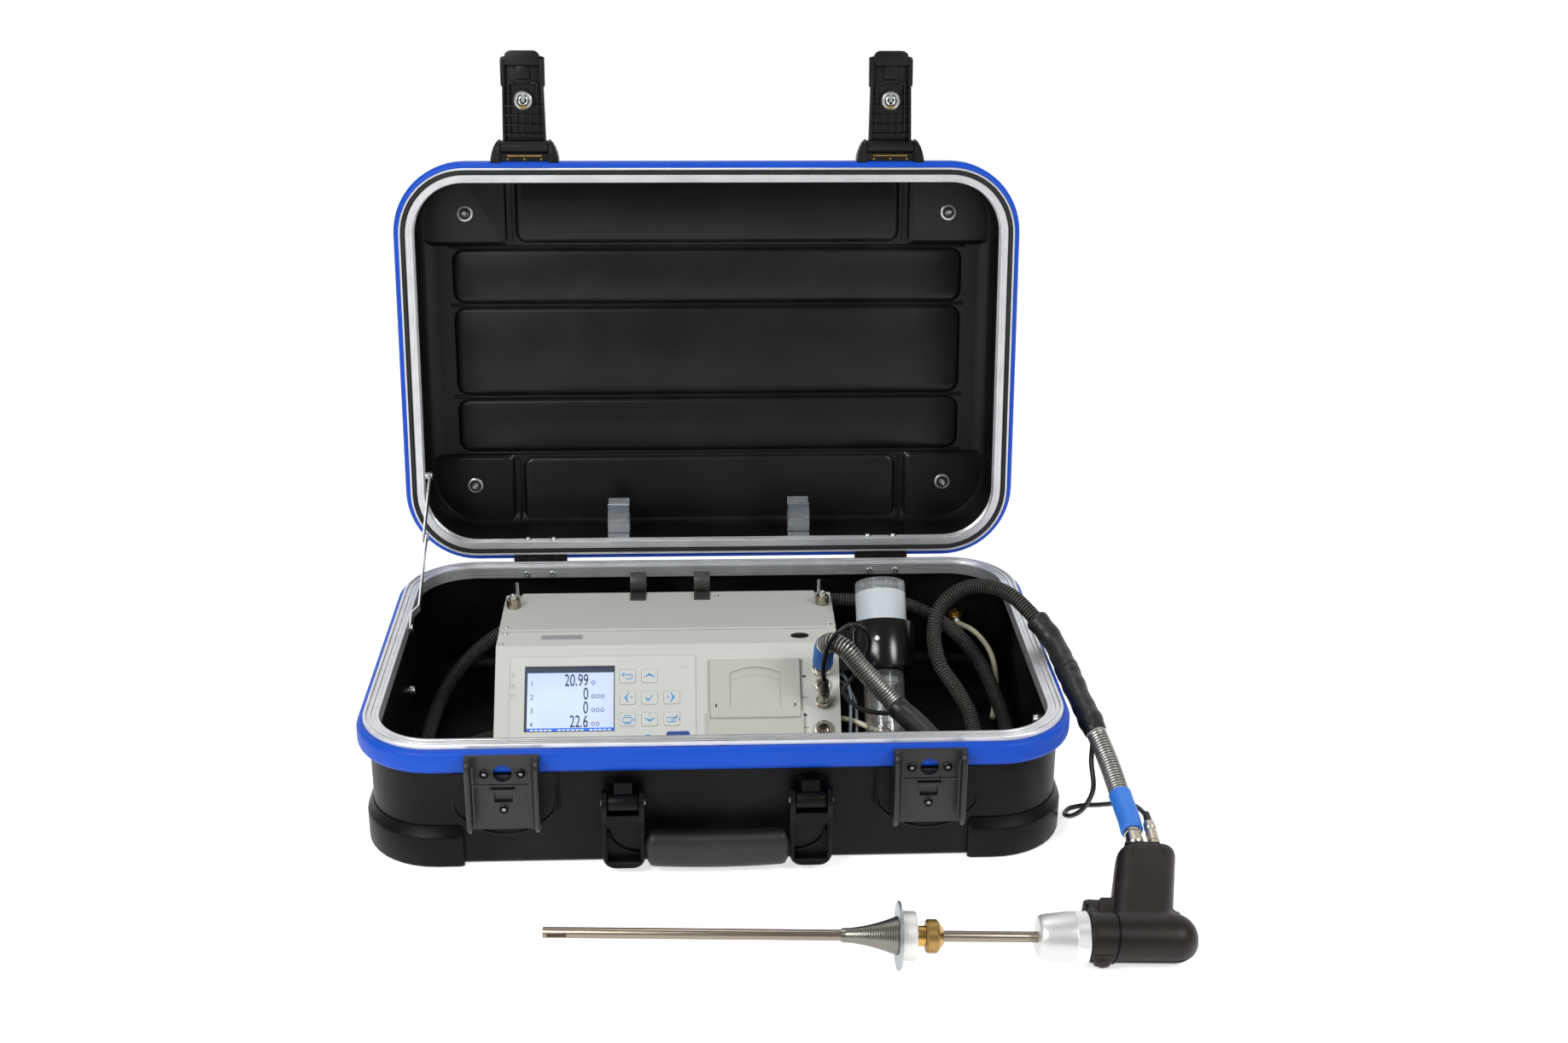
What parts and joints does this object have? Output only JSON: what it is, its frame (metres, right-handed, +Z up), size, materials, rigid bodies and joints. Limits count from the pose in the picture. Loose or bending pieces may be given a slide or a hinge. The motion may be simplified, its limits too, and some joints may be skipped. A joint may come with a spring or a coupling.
{
  "type": "portable gas detector",
  "caption": "Gas analyser with display, keypad, printer, filter and condensate jar in an open hard case with a hinged lid, latches and handle; a hose leads to a sampling probe lying in front.",
  "frame": {"origin": "middle of the case's underside", "axes": "+X to the right of someone at the keypad, +Y to the hinged back, +Z up"},
  "size_m": [0.6355, 0.6632, 0.5701],
  "materials": {
    "black_moulding": "grained",
    "blue_bumper": "satin",
    "bright_frame": "brushed",
    "black_metal": "satin",
    "bright_steel": "satin",
    "seal_rubber": "matte",
    "soft_grip": "matte",
    "light_housing": "satin",
    "panel_foil": "fine grain",
    "lit_display": "lit",
    "key_foil": "fine grain",
    "nickel_socket": "worn",
    "circuit_unit": "mixed",
    "clear_filter": "clear",
    "filter_wool": "matte",
    "braided_hose": "braided",
    "blue_sleeve": "matte",
    "lead_sheath": "satin",
    "probe_steel": "heat-stained",
    "brass_fitting": "satin",
    "turned_aluminium": "turned",
    "probe_plastic": "satin"
  },
  "bodies": {
    "case_base": {"base_shell": "black_moulding", "base_bumper": "blue_bumper", "base_rim": "bright_frame", "corner_guards": "black_moulding", "latch_keepers": "black_moulding", "base_fasteners": "bright_steel", "handle_brackets": "black_moulding", "base_hinges": "black_metal", "analyser_housing": "light_housing", "analyser_top_plate": "light_housing", "mounting_brackets": "black_metal", "tube_clips": "black_moulding", "membrane_panel": "panel_foil", "display_module": "lit_display", "gas_sockets": "nickel_socket", "printer_frame": "light_housing", "measuring_unit": "circuit_unit", "filter_body": "filter_wool", "filter_holder": "black_moulding", "hose_front_run": "braided_hose", "hose_coil": "braided_hose", "hose_back_run": "braided_hose", "hose_fittings": "blue_sleeve", "sensor_lead": "lead_sheath", "probe_lead": "lead_sheath", "probe_tube": "probe_steel", "probe_collar": "turned_aluminium", "probe_handle": "probe_plastic"},
    "lid": {"lid_shell": "black_moulding", "lid_bumper": "blue_bumper", "lid_rim": "bright_frame", "lid_seal": "seal_rubber", "lid_fasteners": "bright_steel", "probe_clips": "bright_steel", "lid_hinges": "black_metal", "latch_bases": "black_moulding"},
    "handle": {"handle_frame": "black_moulding", "handle_grip": "soft_grip"},
    "latch_left": {"latch_lever_left": "black_moulding"},
    "latch_right": {"latch_lever_right": "black_moulding"},
    "lock_left": {"lock_barrel_left": "bright_steel"},
    "lock_right": {"lock_barrel_right": "bright_steel"},
    "stay_lower": {"stay_lower_arm": "bright_steel"},
    "stay_upper": {"stay_upper_arm": "bright_steel"},
    "nut_left": {"thumb_nut_left": "bright_steel"},
    "nut_right": {"thumb_nut_right": "bright_steel"},
    "printer_door": {"printer_door": "light_housing"},
    "filter_cap": {"filter_cap": "clear_filter"},
    "jar": {"condensate_jar": "clear_filter"},
    "depth_stop": {"depth_cone": "probe_steel"},
    "clamp_nut": {"clamp_nut": "brass_fitting"},
    "trigger": {"probe_trigger": "probe_plastic"},
    "key_back": {"key_back": "key_foil"},
    "key_up": {"key_up": "key_foil"},
    "key_left": {"key_left": "key_foil"},
    "key_enter": {"key_enter": "key_foil"},
    "key_right": {"key_right": "key_foil"},
    "key_print": {"key_print": "key_foil"},
    "key_down": {"key_down": "key_foil"},
    "key_save": {"key_save": "key_foil"}
  },
  "joints": [
    {"name": "lid_hinge", "type": "hinge", "parent": "case_base", "child": "lid", "pos_m": [0, 0.184, 0.109], "axis": [1, 0, 0], "range_deg": [0, 85]},
    {"name": "stay_lower_pivot", "type": "hinge", "parent": "case_base", "child": "stay_lower", "pos_m": [-0.264, 0.048, 0.102], "axis": [1, 0, 0], "range_deg": [0, 46]},
    {"name": "stay_upper_pivot", "type": "hinge", "parent": "lid", "child": "stay_upper", "pos_m": [-0.262, 0.2007, 0.18755], "axis": [1, 0, 0], "range_deg": [-180, 0]},
    {"name": "handle_swing", "type": "hinge", "parent": "case_base", "child": "handle", "pos_m": [0, -0.19, 0.062], "axis": [-1, 0, 0], "range_deg": [0, 95]},
    {"name": "latch_left_swing", "type": "hinge", "parent": "lid", "child": "latch_left", "pos_m": [-0.165, 0.24346, 0.48657], "axis": [1, 0, 0], "range_deg": [0, 90]},
    {"name": "lock_left_turn", "type": "hinge", "parent": "latch_left", "child": "lock_left", "pos_m": [-0.165, 0.2554, 0.52641], "axis": [0, 0.9925, -0.1219], "range_deg": [0, 90]},
    {"name": "latch_right_swing", "type": "hinge", "parent": "lid", "child": "latch_right", "pos_m": [0.165, 0.24346, 0.48657], "axis": [1, 0, 0], "range_deg": [0, 90]},
    {"name": "lock_right_turn", "type": "hinge", "parent": "latch_right", "child": "lock_right", "pos_m": [0.165, 0.2554, 0.52641], "axis": [0, 0.9925, -0.1219], "range_deg": [0, 90]},
    {"name": "printer_door_hinge", "type": "hinge", "parent": "case_base", "child": "printer_door", "pos_m": [0.0355, -0.02336, 0.04725], "axis": [1, 0, 0], "range_deg": [0, 80]},
    {"name": "filter_cap_turn", "type": "hinge", "parent": "case_base", "child": "filter_cap", "pos_m": [0.15, 0.07535, 0.12213], "axis": [0, 0.6428, 0.766], "continuous": true},
    {"name": "jar_turn", "type": "hinge", "parent": "case_base", "child": "jar", "pos_m": [0.15, 0.01429, 0.04936], "axis": [0, 0.6428, 0.766], "continuous": true},
    {"name": "thumb_nut_left_turn", "type": "hinge", "parent": "case_base", "child": "nut_left", "pos_m": [-0.18, 0.101, 0.101], "axis": [0, 0, 1], "continuous": true},
    {"name": "thumb_nut_right_turn", "type": "hinge", "parent": "case_base", "child": "nut_right", "pos_m": [0.1, 0.101, 0.101], "axis": [0, 0, 1], "continuous": true},
    {"name": "key_back_press", "type": "slide", "parent": "case_base", "child": "key_back", "axis": [0, 0.7431, -0.6691], "range_m": [0, 0.0004], "stiffness_N_per_m": 800},
    {"name": "key_up_press", "type": "slide", "parent": "case_base", "child": "key_up", "axis": [0, 0.7431, -0.6691], "range_m": [0, 0.0004], "stiffness_N_per_m": 800},
    {"name": "key_left_press", "type": "slide", "parent": "case_base", "child": "key_left", "axis": [0, 0.7431, -0.6691], "range_m": [0, 0.0004], "stiffness_N_per_m": 800},
    {"name": "key_enter_press", "type": "slide", "parent": "case_base", "child": "key_enter", "axis": [0, 0.7431, -0.6691], "range_m": [0, 0.0004], "stiffness_N_per_m": 800},
    {"name": "key_right_press", "type": "slide", "parent": "case_base", "child": "key_right", "axis": [0, 0.7431, -0.6691], "range_m": [0, 0.0004], "stiffness_N_per_m": 800},
    {"name": "key_print_press", "type": "slide", "parent": "case_base", "child": "key_print", "axis": [0, 0.7431, -0.6691], "range_m": [0, 0.0004], "stiffness_N_per_m": 800},
    {"name": "key_down_press", "type": "slide", "parent": "case_base", "child": "key_down", "axis": [0, 0.7431, -0.6691], "range_m": [0, 0.0004], "stiffness_N_per_m": 800},
    {"name": "key_save_press", "type": "slide", "parent": "case_base", "child": "key_save", "axis": [0, 0.7431, -0.6691], "range_m": [0, 0.0004], "stiffness_N_per_m": 800},
    {"name": "depth_stop_slide", "type": "slide", "parent": "case_base", "child": "depth_stop", "axis": [0.9994, 0, -0.0347], "range_m": [-0.18, 0.06]},
    {"name": "clamp_nut_turn", "type": "hinge", "parent": "depth_stop", "child": "clamp_nut", "pos_m": [0.15498, -0.323, 0.02416], "axis": [0.9994, 0, -0.0347], "continuous": true},
    {"name": "trigger_pull", "type": "hinge", "parent": "case_base", "child": "trigger", "pos_m": [0.27814, -0.2968, 0.02643], "axis": [-0.0336, 0.2419, -0.9697], "range_deg": [0, 8], "stiffness_Nm_per_rad": 0.2}
  ],
  "couplings": [
    {"joint": "stay_lower_pivot", "follows": "lid_hinge", "ratio": 0.5305},
    {"joint": "stay_upper_pivot", "follows": "lid_hinge", "ratio": -2.1022}
  ]
}
